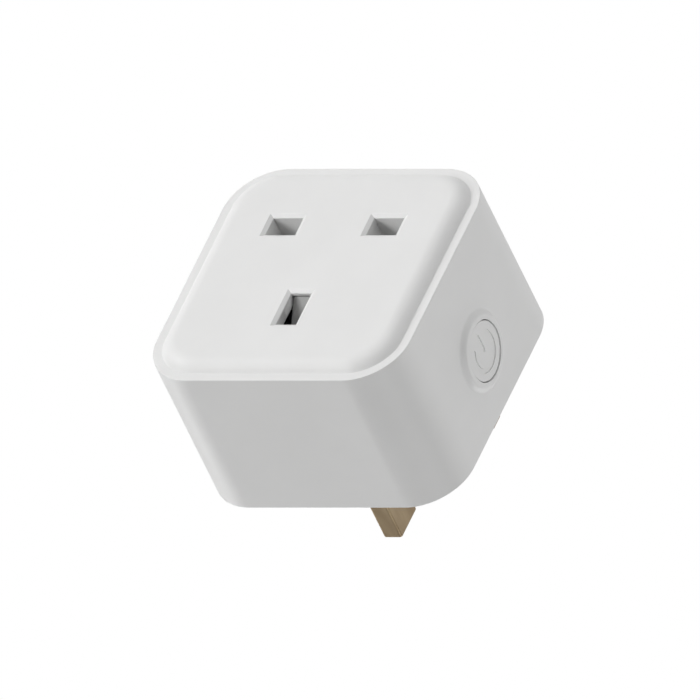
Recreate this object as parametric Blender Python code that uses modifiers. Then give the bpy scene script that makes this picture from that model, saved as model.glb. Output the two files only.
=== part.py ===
"""Smart plug: a switched adapter with a three-hole socket in front and three plug pins behind.

Lengths are in metres. The origin is the centre of the rear face, which lies against the wall socket.
-Y is the way that the socket faces, +Z is up in use, with the earth pin uppermost.
"""

import math

import bmesh
import bpy
from mathutils import Vector

MM = 0.001
GAP = 0.3 * MM  # left between pieces that touch on the real object

# Outer shell
BODY_WIDTH = 56.0 * MM
BODY_HEIGHT = 57.2 * MM
BODY_DEPTH = 34.4 * MM
BODY_CORNER = 10.9 * MM
WALL = 2.0 * MM
RIM_WIDTH = 2.0 * MM
PILLOW_RISE = 2.0 * MM
PILLOW_ROUND = 4.0 * MM
PILLOW_SWEEP = math.radians(60)
PILLOW_STEPS = 5
CORNER_STEPS = 8
FACE_PLATE = 2.6 * MM

RIM_Y = -BODY_DEPTH
FACE_Y = RIM_Y - PILLOW_RISE
PLATE_BACK_Y = FACE_Y + FACE_PLATE
INNER_WIDTH = BODY_WIDTH - 2 * WALL
INNER_HEIGHT = BODY_HEIGHT - 2 * WALL
INNER_CORNER = BODY_CORNER - WALL
INNER_X = INNER_WIDTH / 2
INNER_Z = INNER_HEIGHT / 2

# Standard 13 A pin pattern
PIN_PITCH = 22.225 * MM
EARTH_Z = 10.83 * MM
LINE_Z = EARTH_Z - PIN_PITCH
LINE_X = PIN_PITCH / 2
LINE_PIN = (6.35 * MM, 3.97 * MM)
LINE_PIN_LENGTH = 17.7 * MM
LINE_PIN_CHAMFER = 0.85 * MM
EARTH_PIN = (4.0 * MM, 7.92 * MM)
EARTH_PIN_LENGTH = 22.7 * MM
EARTH_PIN_CHAMFER = 1.0 * MM
PIN_CORNER = 0.4 * MM
SLEEVE_END_Y = 9.2 * MM
SLEEVE_WALL = 0.6 * MM

# Socket holes
LINE_HOLE = (6.64 * MM, 4.58 * MM)
EARTH_HOLE = (4.53 * MM, 8.43 * MM)
LIP_WIDTH = 0.78 * MM
LIP_DEPTH = 0.5 * MM
WELL_WALL = 1.1 * MM
WELL_END_Y = FACE_Y + 5.4 * MM

# Shutter, which blanks the line holes until an earth pin pushes it down
SHUTTER_TRAVEL = 8.5 * MM
SHUTTER_THICKNESS = 1.5 * MM
SHUTTER_FRONT_Y = WELL_END_Y + GAP
SHUTTER_BACK_Y = SHUTTER_FRONT_Y + SHUTTER_THICKNESS
WEDGE_HALF = 2.1 * MM
WEDGE_SLACK = 0.17 * MM
WEDGE_CREST_Y = FACE_Y + 1.4 * MM
WEDGE_ROOF_Y = WEDGE_CREST_Y - GAP
WEDGE_SLOPE = 2 / 3
WEDGE_LOW_Z = 4.6 * MM
WEDGE_CREST_Z = EARTH_Z - EARTH_HOLE[1] / 2
WEDGE_TOP_Z = WEDGE_CREST_Z + (SHUTTER_BACK_Y - WEDGE_CREST_Y) / WEDGE_SLOPE
BAR_HALF = 15.6 * MM
BAR_LOW_Z = LINE_Z - 3.0 * MM
BAR_HIGH_Z = LINE_Z + 3.0 * MM
SPINE_HALF = 5.6 * MM
LUG_HALF = 2.4 * MM
LUG_FRONT_Y = SHUTTER_FRONT_Y - 1.8 * MM
SPRING_Y = SHUTTER_FRONT_Y - 0.1 * MM
SPRING_WIRE = 0.175 * MM
SPRING_COIL = 1.2 * MM
SPRING_TURNS = 6
PEG_RADIUS = 0.7 * MM
PEG_LENGTH = 1.1 * MM

# Contact carrier
CARRIER_FRONT_Y = SHUTTER_BACK_Y + GAP
CARRIER_THICKNESS = 2.0 * MM
CARRIER_BACK_Y = CARRIER_FRONT_Y + CARRIER_THICKNESS
POCKET_END_Y = -16.8 * MM
POCKET_WALL = 1.0 * MM
LINE_POCKET = (8.4 * MM, 7.2 * MM)
EARTH_POCKET = (7.2 * MM, 9.4 * MM)

# Circuit board and the rear cover
BOARD_FRONT_Y = -9.6 * MM
BOARD_BACK_Y = -8.0 * MM
BOARD_TOP_Y = BOARD_FRONT_Y - GAP
COVER_FRONT_Y = -2.6 * MM
SCREW_X = 21.0 * MM
SCREW_Z = 21.6 * MM
BOSS_RADIUS = 3.6 * MM
SCREW_RADIUS = 1.25 * MM
SCREW_HEAD_RADIUS = 2.4 * MM
SCREW_LENGTH = 10.2 * MM
NOTCH_X = SCREW_X - BOSS_RADIUS - GAP
NOTCH_Z = SCREW_Z - BOSS_RADIUS - GAP

# Button on the -X wall
BUTTON_Y = -13.96 * MM
BUTTON_Z = 0.21 * MM
BUTTON_RADIUS = 5.9 * MM
BUTTON_BORE = 6.1 * MM
RING_HEIGHT = 0.95 * MM
RING_FLAT = 6.8 * MM
RING_BASE = 8.35 * MM
RING_STEPS = 5
OUTER_X = BODY_WIDTH / 2
CAP_FRONT_X = -OUTER_X - 0.8 * MM
CAP_FLANGE_X = -INNER_X + GAP
CAP_BACK_X = CAP_FLANGE_X + 0.9 * MM
PLUNGER_FRONT_X = CAP_BACK_X + 0.2 * MM + GAP
SWITCH_FRONT_X = PLUNGER_FRONT_X + 1.0 * MM
SWITCH_BACK_X = SWITCH_FRONT_X + 2.6 * MM
CONTROL_FRONT_X = SWITCH_BACK_X + GAP
CONTROL_BACK_X = CONTROL_FRONT_X + 1.2 * MM

# Relay
RELAY_X = (6.8 * MM, 18.4 * MM)
RELAY_Z = (-3.0 * MM, 17.0 * MM)
RELAY_FRONT_Y = -25.5 * MM
RELAY_BASE_Y = -12.2 * MM
RELAY_WALL = 0.8 * MM
COIL_Z = 9.6 * MM
ARMATURE_PIVOT_Y = -23.6 * MM
ARMATURE_PIVOT_Z = 1.2 * MM


def collection(name):
    found = bpy.data.collections.new(name)
    bpy.context.scene.collection.children.link(found)
    return found


def material(name, colour, roughness, metallic=0.0):
    made = bpy.data.materials.new(name)
    made.use_nodes = True
    shader = made.node_tree.nodes["Principled BSDF"]
    shader.inputs["Base Color"].default_value = (*colour, 1)
    shader.inputs["Roughness"].default_value = roughness
    shader.inputs["Metallic"].default_value = metallic
    return made


def place(name, mesh_or_curve):
    """A new object in the helper collection. piece() moves the real ones out of it."""
    made = bpy.data.objects.new(name, mesh_or_curve)
    HELPERS.objects.link(made)
    made.hide_render = True
    made.display_type = "WIRE"
    return made


def piece(made, name, surface):
    """Turns a helper shape into a named piece of the plug."""
    made.name = name
    made.data.name = name
    made.data.materials.clear()
    made.data.materials.append(surface)
    HELPERS.objects.unlink(made)
    PLUG.objects.link(made)
    made.hide_render = False
    made.display_type = "TEXTURED"
    return made


def from_bmesh(name, shape):
    bmesh.ops.recalc_face_normals(shape, faces=shape.faces)
    mesh = bpy.data.meshes.new(name)
    shape.to_mesh(mesh)
    shape.free()
    return place(name, mesh)


def box(x, y, z):
    shape = bmesh.new()
    bmesh.ops.create_cube(shape, size=1)
    size = Vector((x[1] - x[0], y[1] - y[0], z[1] - z[0]))
    middle = Vector((x[0] + x[1], y[0] + y[1], z[0] + z[1])) / 2
    for corner in shape.verts:
        corner.co = corner.co * size + middle
    return from_bmesh("box", shape)


def around(middle, width):
    return (middle - width / 2, middle + width / 2)


def prism(outline, axis, low, high):
    """An outline extruded along an axis. Its points give the other two coordinates, in X, Y, Z order."""
    shape = bmesh.new()
    corners = []
    for first, second in outline:
        point = [first, second]
        point.insert("XYZ".index(axis), low)
        corners.append(shape.verts.new(point))
    face = shape.faces.new(corners)
    raised = bmesh.ops.extrude_face_region(shape, geom=[face])["geom"]
    move = [0, 0, 0]
    move["XYZ".index(axis)] = high - low
    far = [part for part in raised if isinstance(part, bmesh.types.BMVert)]
    bmesh.ops.translate(shape, vec=move, verts=far)
    return from_bmesh("prism", shape)


def rounded_rectangle(width, height, radius, steps):
    """Points (x, z) round a rectangle whose corners are arcs."""
    points = []
    for quarter, (side_x, side_z) in enumerate([(1, 1), (-1, 1), (-1, -1), (1, -1)]):
        centre = Vector((side_x * (width / 2 - radius), side_z * (height / 2 - radius)))
        for step in range(steps + 1):
            angle = math.pi / 2 * (quarter + step / steps)
            points.append(centre + radius * Vector((math.cos(angle), math.sin(angle))))
    return points


def loft(sections, centre=(0, 0), steps=CORNER_STEPS):
    """A closed skin over rounded rectangles (width, height, corner radius, y), listed along the Y axis."""
    shape = bmesh.new()
    rings = []
    for width, height, radius, y in sections:
        outline = rounded_rectangle(width, height, radius, steps)
        rings.append([shape.verts.new((centre[0] + p.x, y, centre[1] + p.y)) for p in outline])
    for ring, following in zip(rings, rings[1:]):
        for k in range(len(ring)):
            after = (k + 1) % len(ring)
            shape.faces.new((ring[k], ring[after], following[after], following[k]))
    shape.faces.new(rings[0])
    shape.faces.new(rings[-1])
    return from_bmesh("loft", shape)


def turned(profile, place_at, facing, steps=32):
    """A profile of (radius, height), from the top down, turned about its axis. Its top looks to facing."""
    mesh = bpy.data.meshes.new("turned")
    points = [(radius, 0, height) for radius, height in profile]
    mesh.from_pydata(points, [(k, k + 1) for k in range(len(points) - 1)], [])
    made = place("turned", mesh)
    made.location = place_at
    made.rotation_euler = Vector((0, 0, 1)).rotation_difference(Vector(facing)).to_euler()
    screw = made.modifiers.new("turn", "SCREW")
    screw.steps = steps
    screw.render_steps = steps
    screw.use_merge_vertices = True
    screw.merge_threshold = 0.00001
    screw.use_smooth_shade = False
    return made


def cylinder(radius, place_at, facing, length, steps=32):
    """A round bar that starts at place_at and runs towards facing."""
    return turned([(0, length), (radius, length), (radius, 0), (0, 0)], place_at, facing, steps)


def combine(target, tools, operation):
    for tool in tools:
        modifier = target.modifiers.new(operation.lower(), "BOOLEAN")
        modifier.operation = operation
        modifier.object = tool
        modifier.solver = "EXACT"
    return target


def add(target, *tools):
    return combine(target, tools, "UNION")


def cut(target, *tools):
    return combine(target, tools, "DIFFERENCE")


def cross_outline(half_x, half_z):
    """A board outline (x, z) whose four corners are notched round the screw bosses."""
    corners = [(half_x, NOTCH_Z), (NOTCH_X, NOTCH_Z), (NOTCH_X, half_z)]
    right = corners + [(-x, z) for x, z in reversed(corners)]
    return right + [(x, -z) for x, z in reversed(right)]


def screw_places():
    return [(x, z) for x in (-SCREW_X, SCREW_X) for z in (SCREW_Z, -SCREW_Z)]


def pillow_sections():
    """The raised socket face: its edge is an arc that meets the rim at an angle and ends level."""
    sections = []
    for step in range(PILLOW_STEPS + 1):
        angle = PILLOW_SWEEP * (1 - step / PILLOW_STEPS)
        inset = RIM_WIDTH + PILLOW_ROUND * (math.sin(PILLOW_SWEEP) - math.sin(angle))
        y = FACE_Y + PILLOW_ROUND * (1 - math.cos(angle))
        sections.append((BODY_WIDTH - 2 * inset, BODY_HEIGHT - 2 * inset, BODY_CORNER - inset, y))
    return sections


def hole_cutter(size, centre, end_y):
    """A rectangular hole through the face with a sloping lip."""
    outside = 1.0 * MM
    spread = 2 * LIP_WIDTH * (1 + outside / LIP_DEPTH)
    mouth = [(size[0] + spread, size[1] + spread, FACE_Y - outside)]
    straight = [(size[0], size[1], FACE_Y + LIP_DEPTH), (size[0], size[1], end_y)]
    sections = [(width, height, 0.05 * MM, y) for width, height, y in mouth + straight]
    return loft(sections, centre, steps=1)


def front_housing(surface):
    body = [(BODY_WIDTH, BODY_HEIGHT, BODY_CORNER, 0), (BODY_WIDTH, BODY_HEIGHT, BODY_CORNER, RIM_Y)]
    shell = loft(body + pillow_sections())

    face_width, face_height, face_corner, _ = pillow_sections()[-1]
    step_y = RIM_Y + WALL
    hollow = [
        (INNER_WIDTH, INNER_HEIGHT, INNER_CORNER, 1.0 * MM),
        (INNER_WIDTH, INNER_HEIGHT, INNER_CORNER, step_y),
        (face_width, face_height, face_corner, step_y),
        (face_width, face_height, face_corner, PLATE_BACK_Y),
    ]
    cut(shell, loft(hollow))

    overlap = 0.6 * MM
    boss_length = COVER_FRONT_Y - GAP - (step_y - overlap)
    for x, z in screw_places():
        add(shell, cylinder(BOSS_RADIUS, (x, step_y - overlap, z), (0, 1, 0), boss_length, 24))
    for x in (-LINE_X, LINE_X):
        wide = around(x, LINE_HOLE[0] + 2 * WELL_WALL)
        high = around(LINE_Z, LINE_HOLE[1] + 2 * WELL_WALL)
        add(shell, box(wide, (PLATE_BACK_Y - overlap, WELL_END_Y), high))
    peg_start = (0, SPRING_Y, -INNER_Z - overlap)
    add(shell, cylinder(PEG_RADIUS, peg_start, (0, 0, 1), overlap + PEG_LENGTH, 12))

    ring = [(0, RING_HEIGHT)]
    for step in range(RING_STEPS + 1):
        share = step / RING_STEPS
        height = RING_HEIGHT * (1 + math.cos(math.pi * share)) / 2
        ring.append((RING_FLAT + (RING_BASE - RING_FLAT) * share, height))
    ring += [(RING_BASE, -overlap), (0, -overlap)]
    add(shell, turned(ring, (-OUTER_X, BUTTON_Y, BUTTON_Z), (-1, 0, 0), 48))

    for x in (-LINE_X, LINE_X):
        cut(shell, hole_cutter(LINE_HOLE, (x, LINE_Z), WELL_END_Y + overlap))
    cut(shell, hole_cutter(EARTH_HOLE, (0, EARTH_Z), PLATE_BACK_Y + overlap))
    wedge_room = [
        (PLATE_BACK_Y + overlap, WEDGE_LOW_Z - SHUTTER_TRAVEL - GAP),
        (WEDGE_ROOF_Y, WEDGE_LOW_Z - SHUTTER_TRAVEL - GAP),
        (WEDGE_ROOF_Y, EARTH_Z),
        (PLATE_BACK_Y + overlap, EARTH_Z),
    ]
    cut(shell, prism(wedge_room, "X", -WEDGE_HALF - WEDGE_SLACK, WEDGE_HALF + WEDGE_SLACK))
    bore_start = (-OUTER_X - 2 * RING_HEIGHT, BUTTON_Y, BUTTON_Z)
    cut(shell, cylinder(BUTTON_BORE, bore_start, (1, 0, 0), 2 * RING_HEIGHT + WALL + overlap, 48))
    for x, z in screw_places():
        hole_end = (x, -SCREW_LENGTH - 1.2 * MM, z)
        cut(shell, cylinder(SCREW_RADIUS + GAP, hole_end, (0, 1, 0), SCREW_LENGTH, 20))
    return piece(shell, "front_housing", surface)


def rear_cover(surface):
    slack = 2 * GAP
    outline = (INNER_WIDTH - slack, INNER_HEIGHT - slack, INNER_CORNER - GAP)
    plate = loft([(*outline, 0), (*outline, COVER_FRONT_Y)])
    past = 1.0 * MM
    through = (COVER_FRONT_Y - past, past)
    for x in (-LINE_X, LINE_X):
        cut(plate, box(around(x, LINE_PIN[0] + slack), through, around(LINE_Z, LINE_PIN[1] + slack)))
    cut(plate, box(around(0, EARTH_PIN[0] + slack), through, around(EARTH_Z, EARTH_PIN[1] + slack)))
    head = SCREW_HEAD_RADIUS + GAP
    narrow = SCREW_RADIUS + GAP
    sink = [(0, past), (head, past), (head, -0.8 * MM), (narrow, -1.9 * MM)]
    sink += [(narrow, -3.6 * MM), (0, -3.6 * MM)]
    for x, z in screw_places():
        cut(plate, turned(sink, (x, 0, z), (0, 1, 0), 24))
    return piece(plate, "rear_cover", surface)


def cover_screw(number, x, z, surface):
    head = SCREW_HEAD_RADIUS
    profile = [
        (0, 0),
        (head, 0),
        (head, -0.35 * MM),
        (SCREW_RADIUS, -1.6 * MM),
        (SCREW_RADIUS, -SCREW_LENGTH + 1.0 * MM),
        (0.4 * SCREW_RADIUS, -SCREW_LENGTH),
        (0, -SCREW_LENGTH),
    ]
    sunk = 0.3 * MM
    screw = turned(profile, (x, -sunk, z), (0, 1, 0), 20)
    long, short = 2.6 * MM, 0.5 * MM
    recess = (-1.1 * MM, 1.0 * MM)
    cut(screw, box(around(x, long), recess, around(z, short)))
    cut(screw, box(around(x, short), recess, around(z, long)))
    return piece(screw, f"cover_screw_{number}", surface)


def pin(name, centre, size, length, chamfer, neck, surface):
    """A brass pin. In the case it has a head behind the rear cover and a tail on the circuit board."""
    width, height = size
    head_y = (COVER_FRONT_Y - GAP, COVER_FRONT_Y - 2.3 * MM)
    tail = (3.0 * MM, 1.6 * MM)
    corner = PIN_CORNER
    sections = [
        (width - 2 * chamfer, height - 2 * chamfer, corner / 2, length),
        (width, height, corner, length - chamfer),
    ]
    if neck:
        slack = 2 * (SLEEVE_WALL + GAP)
        sections += [(width, height, corner, neck), (width - slack, height - slack, corner, neck)]
        sections += [(width - slack, height - slack, corner, head_y[0])]
    else:
        sections += [(width, height, corner, head_y[0])]
    sections += [
        (width + 2 * MM, height + 2 * MM, corner, head_y[0]),
        (width + 2 * MM, height + 2 * MM, corner, head_y[1]),
        (*tail, corner, head_y[1]),
        (*tail, corner, BOARD_BACK_Y + GAP),
    ]
    return piece(loft(sections, centre, steps=2), name, surface)


def sleeve(name, x, surface):
    """The insulating sleeve over the half of a live or neutral pin that is next to the plug."""
    width, height = LINE_PIN
    start_y = COVER_FRONT_Y
    outside = (width, height, PIN_CORNER)
    tube = loft([(*outside, SLEEVE_END_Y), (*outside, start_y)], (x, LINE_Z), 2)
    bore = (width - 2 * SLEEVE_WALL, height - 2 * SLEEVE_WALL, PIN_CORNER)
    cut(tube, loft([(*bore, SLEEVE_END_Y + MM), (*bore, start_y - MM)], (x, LINE_Z), 2))
    return piece(tube, name, surface)


def spring_contact(name, centre, grip, width, upright, surface):
    """A folded strip whose two leaves grip a pin: flared, then pinched, with a tail to the board.

    grip is the pin's thickness. Upright leaves stand beside the pin, others lie above and below.
    """
    thickness = 0.5 * MM
    half = grip / 2
    leaf = [
        (CARRIER_FRONT_Y + 1.4 * MM, half + 0.9 * MM),
        (CARRIER_FRONT_Y + 3.4 * MM, half - 0.25 * MM),
        (CARRIER_FRONT_Y + 5.4 * MM, half - 0.05 * MM),
        (POCKET_END_Y - 1.6 * MM, half + 0.55 * MM),
        (POCKET_END_Y - 0.9 * MM, half + 0.1 * MM),
    ]
    strip = [(y, -side) for y, side in leaf] + [(y, side) for y, side in reversed(leaf)]
    mesh = bpy.data.meshes.new(name)
    near, far = -width / 2, width / 2
    rows = [[(across, y, side) for y, side in strip] for across in (near, far)]
    if upright:
        rows = [[(side, y, across) for across, y, side in row] for row in rows]
    shift = Vector((centre[0], 0, centre[1]))
    points = [Vector(point) + shift for row in rows for point in row]
    count = len(strip)
    faces = [(k, k + 1, count + k + 1, count + k) for k in range(count - 1)]
    mesh.from_pydata(points, [], faces)
    clip = place(name, mesh)
    thicken = clip.modifiers.new("sheet", "SOLIDIFY")
    thicken.thickness = thickness
    thicken.offset = 0
    tail_wide = around(centre[0], 1.2 * MM if upright else 3.0 * MM)
    tail_high = around(centre[1], 3.0 * MM if upright else 1.2 * MM)
    add(clip, box(tail_wide, (POCKET_END_Y - 0.9 * MM, BOARD_TOP_Y), tail_high))
    return piece(clip, name, surface)


def contact_carrier(surface):
    """The insulating frame behind the shutter: a guide plate in front, and a pocket round each contact."""
    outline = cross_outline(INNER_X - 2 * GAP, INNER_Z - 2 * GAP)
    frame = prism(outline, "Y", CARRIER_FRONT_Y, CARRIER_BACK_Y)
    overlap = 0.5 * MM
    sockets = [
        (-LINE_X, LINE_Z, LINE_POCKET, (7.2 * MM, 4.9 * MM)),
        (LINE_X, LINE_Z, LINE_POCKET, (7.2 * MM, 4.9 * MM)),
        (0, EARTH_Z, EARTH_POCKET, (4.9 * MM, 9.0 * MM)),
    ]
    for x, z, (width, height), _ in sockets:
        wide = around(x, width + 2 * POCKET_WALL)
        high = around(z, height + 2 * POCKET_WALL)
        add(frame, box(wide, (CARRIER_BACK_Y - overlap, POCKET_END_Y), high))
    for side in (-1, 1):
        rail = around(side * (SPINE_HALF + GAP + 0.5 * MM), 1.0 * MM)
        add(frame, box(rail, (SHUTTER_FRONT_Y, CARRIER_FRONT_Y + overlap), (BAR_HIGH_Z + MM, EARTH_Z)))
    for x, z, (width, height), (mouth_width, mouth_height) in sockets:
        cut(frame, box(around(x, width), (CARRIER_FRONT_Y + MM, POCKET_END_Y + MM), around(z, height)))
        mouth_deep = (CARRIER_FRONT_Y - MM, CARRIER_BACK_Y)
        cut(frame, box(around(x, mouth_width), mouth_deep, around(z, mouth_height)))
    return piece(frame, "contact_carrier", surface)


def shutter(surface):
    """A T-shaped slide: its bar blanks the two line holes, and its wedge fills the earth hole."""
    bar = [
        (-BAR_HALF, BAR_LOW_Z),
        (BAR_HALF, BAR_LOW_Z),
        (BAR_HALF, BAR_HIGH_Z),
        (SPINE_HALF, BAR_HIGH_Z),
        (SPINE_HALF, WEDGE_LOW_Z),
        (WEDGE_HALF, WEDGE_LOW_Z + 3.0 * MM),
        (WEDGE_HALF, WEDGE_TOP_Z),
    ]
    outline = bar + [(-x, z) for x, z in reversed(bar[2:])]
    slide = prism(outline, "Y", SHUTTER_FRONT_Y, SHUTTER_BACK_Y)
    inside = 0.1 * MM
    wedge = [
        (SHUTTER_BACK_Y - inside, WEDGE_LOW_Z),
        (WEDGE_CREST_Y, WEDGE_LOW_Z),
        (WEDGE_CREST_Y, WEDGE_CREST_Z),
        (SHUTTER_BACK_Y - inside, WEDGE_TOP_Z - inside / WEDGE_SLOPE),
    ]
    add(slide, prism(wedge, "X", -WEDGE_HALF + inside, WEDGE_HALF - inside))
    lug_high = (BAR_LOW_Z, BAR_LOW_Z + 1.6 * MM)
    add(slide, box((-LUG_HALF, LUG_HALF), (LUG_FRONT_Y, SHUTTER_BACK_Y - inside), lug_high))
    peg_start = (0, SPRING_Y, BAR_LOW_Z + 0.5 * MM)
    add(slide, cylinder(PEG_RADIUS, peg_start, (0, 0, -1), 0.5 * MM + PEG_LENGTH, 12))
    return piece(slide, "shutter", surface)


def shutter_spring(surface):
    """A coil between the case wall and the shutter's bar, with its end turns closed up."""
    low, high = -INNER_Z + GAP + SPRING_WIRE, BAR_LOW_Z - GAP - SPRING_WIRE
    points_per_turn = 12
    count = SPRING_TURNS * points_per_turn
    curve = bpy.data.curves.new("shutter_spring", "CURVE")
    curve.dimensions = "3D"
    curve.bevel_depth = SPRING_WIRE
    curve.bevel_resolution = 1
    curve.use_fill_caps = True
    spline = curve.splines.new("POLY")
    spline.points.add(count)
    for k, point in enumerate(spline.points):
        share = k / count
        angle = 2 * math.pi * SPRING_TURNS * share
        height = low + (high - low) * (share - 0.09 * math.sin(2 * math.pi * share))
        point.co = (SPRING_COIL * math.cos(angle), SPRING_Y + SPRING_COIL * math.sin(angle), height, 1)
    return piece(place("shutter_spring", curve), "shutter_spring", surface)


def button_cap(surface):
    profile = [
        (0, 0),
        (BUTTON_RADIUS - 0.3 * MM, 0),
        (BUTTON_RADIUS, -0.3 * MM),
        (BUTTON_RADIUS, CAP_FRONT_X - CAP_FLANGE_X),
        (BUTTON_RADIUS + 1.2 * MM, CAP_FRONT_X - CAP_FLANGE_X),
        (BUTTON_RADIUS + 1.2 * MM, CAP_FRONT_X - CAP_BACK_X),
        (BUTTON_RADIUS - 1.0 * MM, CAP_FRONT_X - CAP_BACK_X),
        (BUTTON_RADIUS - 1.0 * MM, -1.2 * MM),
        (1.5 * MM, -1.2 * MM),
        (1.5 * MM, CAP_FRONT_X - PLUNGER_FRONT_X + GAP),
        (0, CAP_FRONT_X - PLUNGER_FRONT_X + GAP),
    ]
    cap = turned(profile, (CAP_FRONT_X, BUTTON_Y, BUTTON_Z), (-1, 0, 0), 48)
    return piece(cap, "button_cap", surface)


def tact_switch(case_surface, plunger_surface):
    side = 6.0 * MM
    across = around(BUTTON_Y, side)
    up = around(BUTTON_Z, side)
    case = box((SWITCH_FRONT_X, SWITCH_BACK_X), across, up)
    hole_start = (SWITCH_FRONT_X - MM, BUTTON_Y, BUTTON_Z)
    cut(case, cylinder(2.0 * MM, hole_start, (1, 0, 0), MM + 1.8 * MM, 20))
    piece(case, "tact_switch_body", case_surface)
    plunger = cylinder(1.6 * MM, (PLUNGER_FRONT_X, BUTTON_Y, BUTTON_Z), (1, 0, 0), 2.0 * MM, 20)
    piece(plunger, "tact_plunger", plunger_surface)


def relay(plastic, clear_case, copper, steel):
    """A small power relay: base, cover, coil and its iron yoke, and the armature that the coil pulls."""
    piece(box(RELAY_X, (RELAY_BASE_Y + GAP, BOARD_TOP_Y), RELAY_Z), "relay_base", plastic)

    cover = box(RELAY_X, (RELAY_FRONT_Y, RELAY_BASE_Y), RELAY_Z)
    inner_x = (RELAY_X[0] + RELAY_WALL, RELAY_X[1] - RELAY_WALL)
    inner_z = (RELAY_Z[0] + RELAY_WALL, RELAY_Z[1] - RELAY_WALL)
    cut(cover, box(inner_x, (RELAY_FRONT_Y + RELAY_WALL, RELAY_BASE_Y + MM), inner_z))
    piece(cover, "relay_cover", clear_case)

    middle = sum(RELAY_X) / 2
    core, bobbin, winding = 1.8 * MM, 4.6 * MM, 4.2 * MM
    length = 9.4 * MM
    coil_profile = [
        (0, length),
        (core, length),
        (core, length - 0.4 * MM),
        (bobbin, length - 0.4 * MM),
        (bobbin, length - 1.2 * MM),
        (winding, length - 1.2 * MM),
        (winding, 0.8 * MM),
        (bobbin, 0.8 * MM),
        (bobbin, 0),
        (0, 0),
    ]
    coil_start = (middle, RELAY_BASE_Y - 0.9 * MM - GAP, COIL_Z)
    piece(turned(coil_profile, coil_start, (0, -1, 0), 24), "relay_coil", copper)

    plate_x = around(middle, 8.0 * MM)
    back = (ARMATURE_PIVOT_Z - 0.7 * MM, ARMATURE_PIVOT_Z + 0.3 * MM)
    yoke = box(plate_x, (ARMATURE_PIVOT_Y + GAP, RELAY_BASE_Y), back)
    add(yoke, box(plate_x, (RELAY_BASE_Y - 0.8 * MM, RELAY_BASE_Y), (back[0], COIL_Z + 4.0 * MM)))
    piece(yoke, "relay_yoke", steel)
    armature_z = (ARMATURE_PIVOT_Z - 0.9 * MM, COIL_Z + 4.6 * MM)
    armature = box(plate_x, (ARMATURE_PIVOT_Y - 0.8 * MM, ARMATURE_PIVOT_Y), armature_z)
    piece(armature, "relay_armature", steel)


def electronics(surfaces):
    """The boards and the larger components on them."""
    main = prism(cross_outline(22.0 * MM, 25.0 * MM), "Y", BOARD_FRONT_Y, BOARD_BACK_Y)
    piece(main, "main_circuit_board", surfaces["board"])
    control = box((CONTROL_FRONT_X, CONTROL_BACK_X), (-25.5 * MM, BOARD_TOP_Y), around(BUTTON_Z, 20.0 * MM))
    piece(control, "control_board", surfaces["board"])
    led_deep = (CONTROL_FRONT_X - 1.1 * MM, CONTROL_FRONT_X - GAP)
    led = box(led_deep, around(BUTTON_Y - 5.0 * MM, 1.6 * MM), around(BUTTON_Z, 2.0 * MM))
    piece(led, "status_led", surfaces["led"])

    radio_y = BOARD_TOP_Y - 0.8 * MM
    radio = box((-9.0 * MM, 9.0 * MM), (radio_y, BOARD_TOP_Y), (17.9 * MM, 24.6 * MM))
    piece(radio, "wifi_module_board", surfaces["board"])
    can = box((-6.0 * MM, 6.0 * MM), (radio_y - 2.4 * MM, radio_y - GAP), (18.3 * MM, 24.2 * MM))
    piece(can, "wifi_shield_can", surfaces["tin"])

    crimp = 0.4 * MM
    capacitor_sizes = [(4.4 * MM, 12.0 * MM, 12.4 * MM), (3.5 * MM, 10.0 * MM, 2.6 * MM)]
    for number, (radius, height, z) in enumerate(capacitor_sizes, 1):
        can_profile = [
            (0, height),
            (radius - crimp, height),
            (radius, height - crimp),
            (radius, 2.2 * MM),
            (radius - crimp, 1.8 * MM),
            (radius, 1.4 * MM),
            (radius, 0),
            (0, 0),
        ]
        capacitor = turned(can_profile, (-12.0 * MM, BOARD_TOP_Y, z), (0, -1, 0), 24)
        piece(capacitor, f"capacitor_{number}", surfaces["capacitor"])

    drum = [
        (0, 8.0 * MM),
        (3.2 * MM, 8.0 * MM),
        (3.2 * MM, 7.0 * MM),
        (2.4 * MM, 6.8 * MM),
        (2.4 * MM, 1.2 * MM),
        (3.2 * MM, 1.0 * MM),
        (3.2 * MM, 0),
        (0, 0),
    ]
    piece(turned(drum, (0, BOARD_TOP_Y, -1.2 * MM), (0, -1, 0), 24), "inductor", surfaces["ferrite"])
    disc = [
        (0, 1.6 * MM),
        (3.9 * MM, 1.6 * MM),
        (4.5 * MM, 0.9 * MM),
        (4.5 * MM, -0.9 * MM),
        (3.9 * MM, -1.6 * MM),
        (0, -1.6 * MM),
    ]
    disc_place = (9.0 * MM, BOARD_TOP_Y - 4.6 * MM, -19.4 * MM)
    piece(turned(disc, disc_place, (0, 0, 1), 24), "varistor", surfaces["varistor"])
    bridge = box((-14.0 * MM, -7.6 * MM), (BOARD_TOP_Y - 2.7 * MM, BOARD_TOP_Y), (-24.6 * MM, -20.6 * MM))
    piece(bridge, "bridge_rectifier", surfaces["black"])
    fuse_profile = [
        (0, 9.0 * MM),
        (1.3 * MM, 9.0 * MM),
        (1.7 * MM, 8.6 * MM),
        (1.7 * MM, 0.4 * MM),
        (1.3 * MM, 0),
        (0, 0),
    ]
    fuse_place = (-13.6 * MM, BOARD_TOP_Y - 1.9 * MM, -18.3 * MM)
    piece(turned(fuse_profile, fuse_place, (1, 0, 0), 16), "fuse_resistor", surfaces["fuse"])


for leftover in list(bpy.data.objects):
    bpy.data.objects.remove(leftover)

PLUG = collection("smart_plug")
HELPERS = collection("cutters")

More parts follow.
